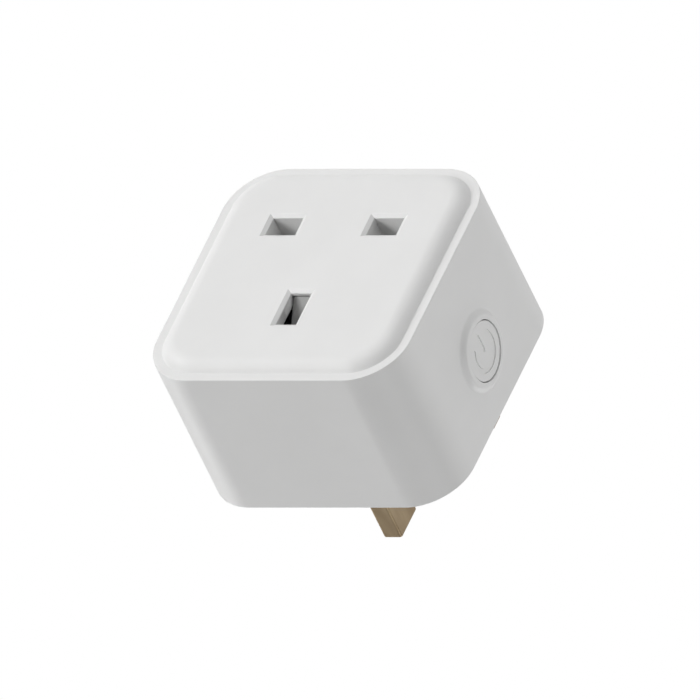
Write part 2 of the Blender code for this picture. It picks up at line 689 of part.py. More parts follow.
SHELL = material("white_case", (0.80, 0.80, 0.79), 0.45)
BUTTON = material("white_button", (0.78, 0.78, 0.77), 0.45)
SHUTTER = material("white_shutter", (0.62, 0.62, 0.61), 0.5)
CARRIER = material("grey_carrier", (0.30, 0.31, 0.32), 0.6)
BLACK = material("black_plastic", (0.02, 0.02, 0.022), 0.5)
BRASS = material("brass", (0.60, 0.45, 0.22), 0.3, 1.0)
BRONZE = material("spring_bronze", (0.62, 0.40, 0.22), 0.3, 1.0)
STEEL = material("steel", (0.58, 0.58, 0.57), 0.3, 1.0)
RELAY_CASE = material("relay_case", (0.03, 0.08, 0.22), 0.35)
COPPER = material("copper_coil", (0.55, 0.25, 0.10), 0.4, 0.6)

front_housing(SHELL)
rear_cover(SHELL)
for index, (screw_x, screw_z) in enumerate(screw_places(), 1):
    cover_screw(index, screw_x, screw_z, STEEL)

EARTH_PLACE = (0, EARTH_Z)
for side_name, side_x in (("live", LINE_X), ("neutral", -LINE_X)):
    line_place = (side_x, LINE_Z)
    neck_end = SLEEVE_END_Y + GAP
    pin(f"{side_name}_pin", line_place, LINE_PIN, LINE_PIN_LENGTH, LINE_PIN_CHAMFER, neck_end, BRASS)
    sleeve(f"{side_name}_pin_sleeve", side_x, BLACK)
    spring_contact(f"{side_name}_contact", line_place, LINE_PIN[1], 6.0 * MM, False, BRONZE)
pin("earth_pin", EARTH_PLACE, EARTH_PIN, EARTH_PIN_LENGTH, EARTH_PIN_CHAMFER, None, BRASS)
spring_contact("earth_contact", EARTH_PLACE, EARTH_PIN[0], 7.4 * MM, True, BRONZE)

contact_carrier(CARRIER)
shutter(SHUTTER)
shutter_spring(STEEL)
button_cap(BUTTON)
tact_switch(BLACK, STEEL)
relay(BLACK, RELAY_CASE, COPPER, STEEL)
electronics(
    {
        "board": material("green_board", (0.02, 0.16, 0.07), 0.45),
        "led": material("led", (0.85, 0.85, 0.78), 0.3),
        "tin": material("tin_can", (0.66, 0.66, 0.65), 0.35, 1.0),
        "capacitor": material("capacitor_sleeve", (0.03, 0.04, 0.09), 0.4),
        "ferrite": material("ferrite", (0.05, 0.05, 0.05), 0.7),
        "varistor": material("varistor", (0.05, 0.14, 0.42), 0.5),
        "black": BLACK,
        "fuse": material("fuse_resistor", (0.35, 0.42, 0.38), 0.6),
    }
)
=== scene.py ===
"""Looks of the smart plug: smooth moulded shells, button, pins and shutter, with procedural materials.

Shapes are built in millimetres, in the CAD model's frame, and brought to metres when they are finished.
-Y is the way the socket faces, +Z is up in use, and the button is on the -X side.
"""

import math

import bmesh
import bpy
from mathutils import Matrix, Vector


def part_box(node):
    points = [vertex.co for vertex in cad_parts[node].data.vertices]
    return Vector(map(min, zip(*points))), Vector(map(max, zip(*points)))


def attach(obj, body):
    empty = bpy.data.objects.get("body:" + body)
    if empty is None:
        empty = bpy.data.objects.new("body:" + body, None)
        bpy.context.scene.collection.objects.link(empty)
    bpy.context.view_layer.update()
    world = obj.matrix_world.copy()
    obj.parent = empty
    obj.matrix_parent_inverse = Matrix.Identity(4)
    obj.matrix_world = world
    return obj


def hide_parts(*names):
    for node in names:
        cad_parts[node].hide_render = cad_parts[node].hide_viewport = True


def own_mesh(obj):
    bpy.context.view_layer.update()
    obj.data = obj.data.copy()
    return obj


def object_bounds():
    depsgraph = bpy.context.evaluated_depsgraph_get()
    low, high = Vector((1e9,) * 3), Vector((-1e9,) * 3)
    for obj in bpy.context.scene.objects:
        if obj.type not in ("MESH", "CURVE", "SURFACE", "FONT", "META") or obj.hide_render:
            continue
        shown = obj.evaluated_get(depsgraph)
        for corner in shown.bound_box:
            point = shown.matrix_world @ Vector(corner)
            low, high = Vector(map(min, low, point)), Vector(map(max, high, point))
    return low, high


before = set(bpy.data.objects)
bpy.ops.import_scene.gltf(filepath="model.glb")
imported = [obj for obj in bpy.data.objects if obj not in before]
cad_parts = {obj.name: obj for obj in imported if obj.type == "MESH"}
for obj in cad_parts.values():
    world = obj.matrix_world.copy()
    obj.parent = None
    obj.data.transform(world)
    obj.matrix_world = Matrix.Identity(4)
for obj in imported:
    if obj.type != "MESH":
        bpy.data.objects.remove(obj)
cad_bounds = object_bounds()

MM = 0.001
CLEAR = 0.3
SHARP_ANGLE = math.radians(32)

# ---------------------------------------------------------------- places, from the CAD model


def span(node):
    """Lowest and highest corner of a CAD node, in millimetres."""
    low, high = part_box(node)
    return Vector(low) / MM, Vector(high) / MM


def middle(node):
    low, high = span(node)
    return (low + high) / 2


HOUSING_LOW, HOUSING_HIGH = span("front_housing")
BODY_WIDTH = 2 * HOUSING_HIGH.x
BODY_HEIGHT = 2 * HOUSING_HIGH.z
FACE_Y = HOUSING_LOW.y
RING_X = HOUSING_LOW.x
WALL = 2.0
BODY_CORNER = 10.9
RIM_WIDTH = 2.0
PILLOW_RISE = 2.0
PILLOW_ROUND = 4.0
PILLOW_SWEEP = math.radians(60)
RIM_Y = FACE_Y + PILLOW_RISE
PLATE_BACK_Y = FACE_Y + 2.6
INNER_WIDTH = BODY_WIDTH - 2 * WALL
INNER_HEIGHT = BODY_HEIGHT - 2 * WALL
INNER_CORNER = BODY_CORNER - WALL

EARTH = middle("earth_pin")
LINES = [middle("neutral_pin"), middle("live_pin")]
LINE_HOLE = (6.64, 4.58)
EARTH_HOLE = (4.53, 8.43)
LIP_WIDTH = 0.78
LIP_DEPTH = 0.5
WELL_WALL = 1.1
WELL_END_Y = FACE_Y + 5.4
SHUTTER_TRAVEL = 8.5
WEDGE_HALF = 2.12
WEDGE_ROOM = 2.27

BUTTON = middle("button_cap")
BUTTON_LOW, BUTTON_HIGH = span("button_cap")
BUTTON_RADIUS = 5.9
BUTTON_BORE = 6.1
RING_FLAT = 6.8
RING_BASE = 8.35

SCREWS = [f"cover_screw_{number}" for number in (1, 2, 3, 4)]
SCREW_HOLE = 1.55
PIN_HEAD_START = -2.9
PIN_HEAD_END = -4.9


# ---------------------------------------------------------------- shape helpers, in millimetres


def from_bmesh(name, shape):
    bmesh.ops.recalc_face_normals(shape, faces=shape.faces)
    mesh = bpy.data.meshes.new(name)
    shape.to_mesh(mesh)
    shape.free()
    made = bpy.data.objects.new(name, mesh)
    bpy.context.scene.collection.objects.link(made)
    return made


def around(centre, width):
    return (centre - width / 2, centre + width / 2)


def box(x, y, z):
    shape = bmesh.new()
    bmesh.ops.create_cube(shape, size=1)
    size = Vector((x[1] - x[0], y[1] - y[0], z[1] - z[0]))
    centre = Vector((x[0] + x[1], y[0] + y[1], z[0] + z[1])) / 2
    for corner in shape.verts:
        corner.co = corner.co * size + centre
    return from_bmesh("box", shape)


def prism(outline, axis, low, high):
    """An outline extruded along an axis. Its points give the other two coordinates, in X, Y, Z order."""
    shape = bmesh.new()
    rings = []
    for level in (low, high):
        ring = []
        for first, second in outline:
            point = [first, second]
            point.insert("XYZ".index(axis), level)
            ring.append(shape.verts.new(point))
        rings.append(ring)
    count = len(outline)
    for k in range(count):
        after = (k + 1) % count
        shape.faces.new((rings[0][k], rings[0][after], rings[1][after], rings[1][k]))
    shape.faces.new(rings[0])
    shape.faces.new(rings[1])
    return from_bmesh("prism", shape)


def arc_points(centre, radius, start, sweep, steps):
    """Points (x, y) along an arc. Angles are in radians."""
    points = []
    for step in range(steps + 1):
        angle = start + sweep * step / steps
        points.append((centre[0] + radius * math.cos(angle), centre[1] + radius * math.sin(angle)))
    return points


def rounded_rectangle(width, height, radius, steps):
    """Points round a rectangle. With no radius it has four plain corners."""
    corners = [(1, 1), (-1, 1), (-1, -1), (1, -1)]
    if radius == 0:
        return [(side_x * width / 2, side_z * height / 2) for side_x, side_z in corners]
    points = []
    for quarter, (side_x, side_z) in enumerate(corners):
        centre = (side_x * (width / 2 - radius), side_z * (height / 2 - radius))
        points += arc_points(centre, radius, math.pi / 2 * quarter, math.pi / 2, steps)
    return points


def loft(sections, centre=(0, 0), steps=28):
    """A closed skin over rounded rectangles (width, height, corner radius, y), listed along the Y axis."""
    shape = bmesh.new()
    rings = []
    for width, height, radius, y in sections:
        outline = rounded_rectangle(width, height, radius, steps)
        rings.append([shape.verts.new((centre[0] + x, y, centre[1] + z)) for x, z in outline])
    for ring, following in zip(rings, rings[1:]):
        for k in range(len(ring)):
            after = (k + 1) % len(ring)
            shape.faces.new((ring[k], ring[after], following[after], following[k]))
    shape.faces.new(rings[0])
    shape.faces.new(rings[-1])
    return from_bmesh("loft", shape)


def turned(profile, place_at, facing, steps=96):
    """A profile of (radius, height) turned about its axis. facing is the way its top looks."""
    shape = bmesh.new()
    turn = Vector((0, 0, 1)).rotation_difference(Vector(facing)).to_matrix()
    rings = []
    for radius, height in profile:
        if radius < 1e-6:
            rings.append([shape.verts.new(turn @ Vector((0, 0, height)) + Vector(place_at))])
            continue
        ring = []
        for step in range(steps):
            angle = 2 * math.pi * step / steps
            point = Vector((radius * math.cos(angle), radius * math.sin(angle), height))
            ring.append(shape.verts.new(turn @ point + Vector(place_at)))
        rings.append(ring)
    for ring, following in zip(rings, rings[1:]):
        for step in range(steps):
            after = (step + 1) % steps
            corners = [ring[step % len(ring)], ring[after % len(ring)]]
            corners += [following[after % len(following)], following[step % len(following)]]
            shape.faces.new(list(dict.fromkeys(corners)))
    return from_bmesh("turned", shape)


def tube(points, radius, sides=12):
    """A round wire along points, with flat ends, as a closed mesh."""
    points = [Vector(point) for point in points]
    last = len(points) - 1
    shape = bmesh.new()
    rings = []
    side = Vector((0, 0, 1))
    for k, point in enumerate(points):
        along = (points[min(k + 1, last)] - points[max(k - 1, 0)]).normalized()
        side = (side - along * side.dot(along)).normalized()
        across = along.cross(side)
        ring = []
        for step in range(sides):
            angle = 2 * math.pi * step / sides
            outward = side * math.cos(angle) + across * math.sin(angle)
            ring.append(shape.verts.new(point + radius * outward))
        rings.append(ring)
    for ring, following in zip(rings, rings[1:]):
        for step in range(sides):
            after = (step + 1) % sides
            shape.faces.new((ring[step], ring[after], following[after], following[step]))
    shape.faces.new(rings[0])
    shape.faces.new(rings[-1])
    return from_bmesh("tube", shape)


def bake(made):
    """Applies the modifiers on an object, so that it holds its final mesh and nothing else."""
    graph = bpy.context.evaluated_depsgraph_get()
    evaluated = made.evaluated_get(graph)
    mesh = bpy.data.meshes.new_from_object(evaluated, preserve_all_data_layers=True, depsgraph=graph)
    made.modifiers.clear()
    made.data = mesh
    return made


def combine(target, tools, operation):
    for tool in tools:
        modifier = target.modifiers.new(operation, "BOOLEAN")
        modifier.operation = operation
        modifier.object = tool
        modifier.solver = "EXACT"
    bake(target)
    for tool in tools:
        bpy.data.objects.remove(tool)
    return target


def add(target, *tools):
    return combine(target, tools, "UNION")


def cut(target, *tools):
    return combine(target, tools, "DIFFERENCE")


def soften(made, width, angle=30, segments=2):
    """Rounds every edge sharper than angle."""
    bevel = made.modifiers.new("soften", "BEVEL")
    bevel.width = width
    bevel.segments = segments
    bevel.limit_method = "ANGLE"
    bevel.angle_limit = math.radians(angle)
    bevel.harden_normals = False
    return bake(made)


def finished(made, name, surface, body, *nodes, slot=None):
    """Shades a shape, brings it to metres and makes it stand for the CAD nodes on their body."""
    made.name = name
    made.data.name = name
    made.data.materials.clear()
    made.data.materials.append(surface)
    made.data.shade_smooth()
    made.data.set_sharp_from_angle(angle=SHARP_ANGLE)
    weights = made.modifiers.new("weights", "WEIGHTED_NORMAL")
    weights.keep_sharp = True
    weights.weight = 100
    bake(made)
    made.data.transform(Matrix.Scale(MM, 4))
    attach(made, body)
    if nodes:
        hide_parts(*nodes)
    return made


# ---------------------------------------------------------------- materials


class Surface:
    """A Principled material with short calls for the nodes that feed it."""

    def __init__(self, name, colour, roughness, metallic=0.0):
        self.material = bpy.data.materials.new(name)
        self.material.use_nodes = True
        self.nodes = self.material.node_tree.nodes
        self.links = self.material.node_tree.links
        self.shader = self.nodes["Principled BSDF"]
        self.shader.inputs["Base Color"].default_value = (*colour, 1)
        self.shader.inputs["Roughness"].default_value = roughness
        self.shader.inputs["Metallic"].default_value = metallic
        self.place = self.nodes.new("ShaderNodeTexCoord").outputs["Object"]

    def link(self, source, socket):
        self.links.new(source, socket)
        return self

    def stretched(self, scale):
        mapping = self.nodes.new("ShaderNodeMapping")
        mapping.inputs["Scale"].default_value = scale
        self.link(self.place, mapping.inputs["Vector"])
        return mapping.outputs["Vector"]

    def noise(self, per_metre, detail=3.0, stretch=(1, 1, 1)):
        node = self.nodes.new("ShaderNodeTexNoise")
        node.inputs["Scale"].default_value = per_metre
        node.inputs["Detail"].default_value = detail
        self.link(self.stretched(stretch), node.inputs["Vector"])
        return node.outputs["Fac"]

    def cells(self, per_metre, feature):
        node = self.nodes.new("ShaderNodeTexVoronoi")
        node.feature = feature
        node.inputs["Scale"].default_value = per_metre
        self.link(self.place, node.inputs["Vector"])
        return node.outputs["Distance"]

    def blend(self, factor, low, high, start=0.3, end=0.7):
        """Colours from low to high as factor runs from start to end."""
        ramp = self.nodes.new("ShaderNodeValToRGB")
        ramp.color_ramp.elements[0].position = start
        ramp.color_ramp.elements[1].position = end
        ramp.color_ramp.elements[0].color = (*low, 1)
        ramp.color_ramp.elements[1].color = (*high, 1)
        self.link(factor, ramp.inputs["Fac"])
        return ramp.outputs["Color"]

    def between(self, factor, low, high, within=(0, 1)):
        node = self.nodes.new("ShaderNodeMapRange")
        node.inputs["From Min"].default_value = within[0]
        node.inputs["From Max"].default_value = within[1]
        node.inputs["To Min"].default_value = low
        node.inputs["To Max"].default_value = high
        self.link(factor, node.inputs["Value"])
        return node.outputs["Result"]

    def bump(self, height, distance, strength=1.0):
        node = self.nodes.new("ShaderNodeBump")
        node.inputs["Distance"].default_value = distance
        node.inputs["Strength"].default_value = strength
        self.link(height, node.inputs["Height"])
        self.link(node.outputs["Normal"], self.shader.inputs["Normal"])
        return self

    def colour(self, source):
        return self.link(source, self.shader.inputs["Base Color"])

    def rough(self, source):
        return self.link(source, self.shader.inputs["Roughness"])


def moulded_white(name, tint, roughness):
    """Satin white plastic: a fine spark-eroded grain, with faint clouding from the mould's flow."""
    surface = Surface(name, tint, roughness)
    cloud = surface.noise(90, 2)
    paler = [min(1, channel * 1.012) for channel in tint]
    darker = [channel * 0.988 for channel in tint]
    surface.colour(surface.blend(cloud, darker, paler))
    grain = surface.noise(7000, 2)
    surface.rough(surface.between(surface.noise(900, 4), roughness - 0.05, roughness + 0.05))
    surface.bump(grain, 0.000012, 0.35)
    return surface.material


WHITE = moulded_white("white_case", (0.80, 0.80, 0.795), 0.42)
BUTTON_WHITE = moulded_white("white_button", (0.80, 0.80, 0.795), 0.40)
# The shutter's grey is painted shade: its white plastic is darkened to stand in for the dimness deep inside
# the holes.
SHUTTER_PAINTED_SHADE = moulded_white("white_shutter", (0.33, 0.33, 0.325), 0.5)


def brass(name):
    """Drawn brass, brushed along its length, with a little brown tarnish."""
    surface = Surface(name, (0.4, 0.29, 0.18), 0.4, 1.0)
    tarnish = surface.noise(240, 5, (1, 0.35, 1))
    surface.colour(surface.blend(tarnish, (0.29, 0.21, 0.125), (0.42, 0.325, 0.205), 0.3, 0.72))
    lines = surface.noise(3000, 2, (1, 0.04, 1))
    surface.rough(surface.between(lines, 0.36, 0.5))
    surface.bump(lines, 0.00001, 0.5)
    return surface.material


BRASS = brass("brass")


def black_plastic(name):
    surface = Surface(name, (0.018, 0.018, 0.02), 0.45)
    surface.rough(surface.between(surface.noise(1200, 4), 0.38, 0.52))
    surface.bump(surface.noise(6000, 2), 0.00001, 0.4)
    return surface.material


BLACK = black_plastic("black_sleeve")


def plated_steel(name):
    surface = Surface(name, (0.58, 0.58, 0.57), 0.3, 1.0)
    surface.colour(surface.blend(surface.noise(700, 4), (0.46, 0.46, 0.46), (0.66, 0.66, 0.65)))
    surface.rough(surface.between(surface.noise(2500, 3), 0.22, 0.4))
    surface.bump(surface.noise(4000, 2), 0.000008, 0.4)
    return surface.material


STEEL = plated_steel("plated_steel")


def plastic(name, tint, roughness, spread=0.06):
    """Moulded plastic with a fine grain and slightly uneven colour and gloss."""
    surface = Surface(name, tint, roughness)
    darker = [0.85 * channel for channel in tint]
    paler = [min(1, 1.12 * channel) for channel in tint]
    surface.colour(surface.blend(surface.noise(500, 4), darker, paler))
    surface.rough(surface.between(surface.noise(1500, 3), roughness - spread, roughness + spread))
    surface.bump(surface.noise(6000, 2), 0.00001, 0.4)
    return surface.material


def sheet_metal(name, dull, bright, roughness):
    """Rolled metal: fine lines along the sheet and a thin, patchy oxide."""
    surface = Surface(name, bright, roughness, 1.0)
    surface.colour(surface.blend(surface.noise(600, 5), dull, bright))
    lines = surface.noise(2600, 2, (1, 0.05, 1))
    surface.rough(surface.between(lines, roughness - 0.08, roughness + 0.1))
    surface.bump(lines, 0.000008, 0.4)
    return surface.material


def circuit_board(name):
    """Green solder mask over copper tracks, dotted with tinned pads."""
    surface = Surface(name, (0.02, 0.16, 0.07), 0.4)
    tracks = surface.cells(420, "DISTANCE_TO_EDGE")
    ground = surface.blend(tracks, (0.035, 0.26, 0.11), (0.012, 0.12, 0.05), 0.05, 0.08)
    pads = surface.cells(700, "F1")
    near_pad = surface.between(pads, 1, 0, (0.16, 0.2))
    mix = surface.nodes.new("ShaderNodeMix")
    mix.data_type = "RGBA"
    mix.inputs["B"].default_value = (0.55, 0.56, 0.55, 1)
    surface.link(near_pad, mix.inputs["Factor"])
    surface.link(ground, mix.inputs["A"])
    surface.colour(mix.outputs["Result"])
    surface.rough(surface.between(surface.noise(900, 3), 0.3, 0.5))
    surface.bump(tracks, 0.00003, 0.3)
    return surface.material


def banded(name, along, bands, end, roughness, grain=1500):
    """Rings of colour round a turned piece, from the first band's start to end, along an axis.

    Each band is its start in millimetres and its colour, lowest first.
    """
    surface = Surface(name, bands[0][1], roughness)
    axes = surface.nodes.new("ShaderNodeSeparateXYZ")
    surface.link(surface.place, axes.inputs["Vector"])
    start = bands[0][0]
    share = surface.between(axes.outputs[along], 0, 1, (start * MM, end * MM))
    ramp = surface.nodes.new("ShaderNodeValToRGB")
    ramp.color_ramp.interpolation = "CONSTANT"
    steps = ramp.color_ramp.elements
    while len(steps) < len(bands):
        steps.new(1.0)
    for step, (place, colour) in zip(steps, bands):
        step.position = (place - start) / (end - start)
        step.color = (*colour, 1)
    surface.link(share, ramp.inputs["Fac"])
    surface.colour(ramp.outputs["Color"])
    surface.rough(surface.between(surface.noise(grain, 3), roughness - 0.08, roughness + 0.08))
    surface.bump(surface.noise(3 * grain, 2), 0.00001, 0.4)
    return surface.material


GREY_PLASTIC = plastic("grey_carrier", (0.30, 0.31, 0.32), 0.55)
BLACK_PLASTIC = plastic("black_plastic", (0.022, 0.022, 0.024), 0.48)
RELAY_PLASTIC = plastic("relay_plastic", (0.03, 0.08, 0.22), 0.35)
LED_RESIN = plastic("led_resin", (0.82, 0.82, 0.72), 0.25, 0.04)
VARISTOR_EPOXY = plastic("varistor_epoxy", (0.05, 0.14, 0.42), 0.42, 0.1)
BRONZE = sheet_metal("spring_bronze", (0.42, 0.26, 0.14), (0.66, 0.44, 0.25), 0.3)
TIN = sheet_metal("tinned_sheet", (0.52, 0.52, 0.51), (0.7, 0.7, 0.69), 0.3)
IRON = sheet_metal("plated_iron", (0.36, 0.36, 0.36), (0.56, 0.56, 0.56), 0.34)
BOARD = circuit_board("solder_mask")


# ---------------------------------------------------------------- the case


def pillow_sections():
    """Back edge, side wall, rim and raised face, with small rounds where the mould has them."""
    back_round, rim_round, crease = 0.15, 0.15, 0.15
    sections = []

    def section(inset, y):
        sections.append((BODY_WIDTH - 2 * inset, BODY_HEIGHT - 2 * inset, BODY_CORNER - inset, y))

    steps = 5
    for step in range(steps + 1):
        angle = math.pi / 2 * step / steps
        section(back_round * (1 - math.sin(angle)), -back_round * (1 - math.cos(angle)))
    for step in range(steps + 1):
        angle = math.pi / 2 * step / steps
        section(rim_round * (1 - math.cos(angle)), RIM_Y + rim_round * (1 - math.sin(angle)))
    section(RIM_WIDTH - crease, RIM_Y)
    for step in range(1, 4):
        angle = PILLOW_SWEEP * step / 4
        section(RIM_WIDTH - crease + crease * math.sin(angle) * 1.1, RIM_Y - crease * (1 - math.cos(angle)))
    steps = 16
    for step in range(1, steps + 1):
        angle = PILLOW_SWEEP * (1 - step / steps)
        inset = RIM_WIDTH + PILLOW_ROUND * (math.sin(PILLOW_SWEEP) - math.sin(angle))
        section(inset, FACE_Y + PILLOW_ROUND * (1 - math.cos(angle)))
    return sections


def hole_cutter(size, centre, end_y):
    """A rectangular hole through the face with a sloping lip."""
    outside = 0.5
    spread = 2 * LIP_WIDTH * (1 + outside / LIP_DEPTH)
    sections = [
        (size[0] + spread, size[1] + spread, 0, FACE_Y - outside),
        (size[0], size[1], 0, FACE_Y + LIP_DEPTH),
        (size[0], size[1], 0, end_y),
    ]
    return loft(sections, centre)


def housing():
    sections = pillow_sections()
    shell = loft(sections)
    face_width, face_height, face_corner, _ = sections[-1]
    step_y = RIM_Y + WALL
    hollow = [
        (INNER_WIDTH, INNER_HEIGHT, INNER_CORNER, 1.0),
        (INNER_WIDTH, INNER_HEIGHT, INNER_CORNER, step_y),
        (face_width, face_height, face_corner, step_y),
        (face_width, face_height, face_corner, PLATE_BACK_Y),
    ]
    cut(shell, loft(hollow, steps=16))

    overlap = 0.6
    boss_radius, boss_start = 3.6, -2.9
    boss_length = step_y - overlap - boss_start
    for screw in SCREWS:
        centre = middle(screw)
        boss = [(0, 0), (boss_radius, 0), (boss_radius, boss_length), (0, boss_length)]
        add(shell, turned(boss, (centre.x, boss_start, centre.z), (0, 1, 0), 40))
    for line in LINES:
        wide = around(line.x, LINE_HOLE[0] + 2 * WELL_WALL)
        high = around(line.z, LINE_HOLE[1] + 2 * WELL_WALL)
        add(shell, box(wide, (PLATE_BACK_Y - overlap, WELL_END_Y), high))

    ring_height = -RING_X - BODY_WIDTH / 2
    ring = [(0, ring_height)]
    steps = 16
    for step in range(steps + 1):
        share = step / steps
        fall = share**3 * (10 - 15 * share + 6 * share**2)
        ring.append((RING_FLAT + (RING_BASE - RING_FLAT) * share, ring_height * (1 - fall)))
    ring += [(RING_BASE, -overlap), (0, -overlap)]
    wall_place = (-BODY_WIDTH / 2, BUTTON.y, BUTTON.z)
    add(shell, turned(ring, wall_place, (-1, 0, 0), 128))

    for line in LINES:
        cut(shell, hole_cutter(LINE_HOLE, (line.x, line.z), WELL_END_Y + overlap))
    cut(shell, hole_cutter(EARTH_HOLE, (0, EARTH.z), PLATE_BACK_Y + overlap))
    wedge_lead = 2.0
    room_low = EARTH.z - EARTH_HOLE[1] / 2 - wedge_lead - SHUTTER_TRAVEL - CLEAR
    thin_wall = 1.1
    room_depth = (FACE_Y + thin_wall, PLATE_BACK_Y + overlap)
    cut(shell, box((-WEDGE_ROOM, WEDGE_ROOM), room_depth, (room_low, EARTH.z)))
    reach = 3
    bore = [(0, reach), (BUTTON_BORE, reach), (BUTTON_BORE, -reach), (0, -reach)]
    cut(shell, turned(bore, wall_place, (-1, 0, 0), 128))
    hole_depth = 11
    for screw in SCREWS:
        centre = middle(screw)
        hole = [(0, 0), (SCREW_HOLE, 0), (SCREW_HOLE, -hole_depth), (0, -hole_depth)]
        cut(shell, turned(hole, (centre.x, 0, centre.z), (0, 1, 0), 32))
    soften(shell, 0.1)
    return finished(shell, "housing", WHITE, "case", "front_housing", slot="case")


def back_cover():
    low, high = span("rear_cover")
    size = high - low
    corner = INNER_CORNER - CLEAR
    edge = 0.2
    sections = [
        (size.x - 2 * edge, size.z - 2 * edge, corner - edge, high.y),
        (size.x, size.z, corner, high.y - edge),
        (size.x, size.z, corner, low.y),
    ]
    plate = loft(sections)
    through = (low.y - 1, high.y + 1)
    line_slot, earth_slot = (6.95, 4.57), (4.6, 8.52)
    for line in LINES:
        cut(plate, box(around(line.x, line_slot[0]), through, around(line.z, line_slot[1])))
    cut(plate, box(around(0, earth_slot[0]), through, around(EARTH.z, earth_slot[1])))
    for screw in SCREWS:
        centre = middle(screw)
        sink = [(0, 1), (2.7, 1), (2.7, -0.8), (SCREW_HOLE, -1.9), (SCREW_HOLE, -3.6), (0, -3.6)]
        cut(plate, turned(sink, (centre.x, 0, centre.z), (0, 1, 0), 48))
    soften(plate, 0.08)
    return finished(plate, "back_cover", WHITE, "case", "rear_cover", slot="case")


def stroke(outline, width, x_face, depth):
    """A round-ended groove cutter along outline (y, z), sunk into a face that looks towards -X."""
    half = width / 2
    left, right = [], []
    count = len(outline)
    for k, point in enumerate(outline):
        before, after = outline[max(k - 1, 0)], outline[min(k + 1, count - 1)]
        along = (Vector(after) - Vector(before)).normalized()
        across = Vector((-along.y, along.x)) * half
        left.append(Vector(point) + across)
        right.append(Vector(point) - across)
    ends = []
    for centre, start_at in ((outline[-1], left[-1]), (outline[0], right[0])):
        first = Vector(start_at) - Vector(centre)
        angle = math.atan2(first.y, first.x)
        ends.append(arc_points(centre, half, angle, -math.pi, 10)[1:-1])
    loop = left + [Vector(p) for p in ends[0]] + list(reversed(right)) + [Vector(p) for p in ends[1]]
    return prism([(p.x, p.y) for p in loop], "X", x_face - 1.0, x_face + depth)


def power_button():
    """The cap, with a sunk power symbol: a broken ring and a bar that points to the socket face."""
    face_x = BUTTON_LOW.x
    flange_x = -INNER_WIDTH / 2 + CLEAR
    back_x = flange_x + 0.9
    edge = 0.15
    profile = [(0, 0)]
    for angle in (0, 0.5, 1.05, 1.571):
        profile.append((BUTTON_RADIUS - edge + edge * math.sin(angle), -edge * (1 - math.cos(angle))))
    profile += [
        (BUTTON_RADIUS, face_x - flange_x),
        (BUTTON_RADIUS + 1.2, face_x - flange_x),
        (BUTTON_RADIUS + 1.2, face_x - back_x),
        (BUTTON_RADIUS - 1.0, face_x - back_x),
        (BUTTON_RADIUS - 1.0, -1.2),
        (1.5, -1.2),
        (1.5, face_x - BUTTON_HIGH.x),
        (0, face_x - BUTTON_HIGH.x),
    ]
    cap = turned(profile, (face_x, BUTTON.y, BUTTON.z), (-1, 0, 0), 128)
    line, radius, gap, depth = 0.9, 3.85, math.radians(52), 0.18
    ring = arc_points((BUTTON.y, BUTTON.z), radius, -math.pi + gap, 2 * (math.pi - gap), 56)
    bar = [(BUTTON.y - 3.75, BUTTON.z), (BUTTON.y - 0.42, BUTTON.z)]
    cut(cap, stroke(ring, line, face_x, depth), stroke(bar, line, face_x, depth))
    soften(cap, 0.05)
    return finished(cap, "power_button", BUTTON_WHITE, "button", "button_cap", slot="case")


# ---------------------------------------------------------------- pins, sleeves and screws


def plug_pin(node, chamfer):
    """A pin with a chamfered tip. It narrows inside its sleeve and has a head and a tail in the case."""
    low, high = span(node)
    earth = node == "earth_pin"
    head = 2.0
    width = high.x - low.x - head
    height = high.z - low.z - head
    centre = middle(node)
    corner = 0.45
    end_y = high.y
    tail = (3.0, 1.6, 0.4)
    sections = [
        (width - 2 * chamfer, height - 2 * chamfer, corner * 0.6, end_y),
        (width, height, corner, end_y - chamfer),
    ]
    if not earth:
        sleeve_low, sleeve_high = span("live_pin_sleeve")
        neck = sleeve_high.y + CLEAR
        slack = 1.8
        sections += [(width, height, corner, neck), (width - slack, height - slack, corner, neck)]
        width, height = width - slack, height - slack
    sections += [
        (width, height, corner, PIN_HEAD_START),
        (high.x - low.x, high.z - low.z, corner, PIN_HEAD_START),
        (high.x - low.x, high.z - low.z, corner, PIN_HEAD_END),
        (*tail, PIN_HEAD_END),
        (*tail, low.y),
    ]
    pin = loft(sections, (centre.x, centre.z), steps=6)
    soften(pin, 0.12)
    return finished(pin, node.replace("_pin", "_blade"), BRASS, "case", node, slot="brass")


def pin_sleeve(node):
    low, high = span(node)
    centre = middle(node)
    width, height = high.x - low.x, high.z - low.z
    sections = [(width, height, 0.45, high.y), (width, height, 0.45, low.y)]
    sleeve = loft(sections, (centre.x, centre.z), steps=6)
    bore = [(width - 1.2, height - 1.2, 0.4, high.y + 1), (width - 1.2, height - 1.2, 0.4, low.y - 1)]
    cut(sleeve, loft(bore, (centre.x, centre.z), steps=6))
    soften(sleeve, 0.1)
    name = node.replace("_pin_sleeve", "_sleeve")
    return finished(sleeve, name, BLACK, "case", node, slot="black_plastic")


def screw(node):
    low, high = span(node)
    centre = middle(node)
    length = high.y - low.y
    profile = [(0, 0), (2.1, 0), (2.33, -0.05), (2.4, -0.15), (2.4, -0.35), (1.25, -1.6)]
    pitch, crest, root = 0.9, 1.25, 0.95
    level = -2.2
    while level > -length + 1.6:
        profile += [(root, level), (crest, level - pitch / 2)]
        level -= pitch
    profile += [(root, -length + 1.0), (0.3, -length), (0, -length)]
    body = turned(profile, (centre.x, high.y, centre.z), (0, 1, 0), 48)
    recess = []
    for wide, tall in ((2.6, 0.55), (0.55, 2.6)):
        slot = [(wide, tall, 0.1, high.y + 0.5), (wide * 0.75, tall * 0.8, 0.1, high.y - 1.1)]
        recess.append(loft(slot, (centre.x, centre.z), 3))
    cut(body, *recess)
    soften(body, 0.05, 45)
    return finished(body, node.replace("cover_screw", "screw"), STEEL, "case", node, slot="steel")


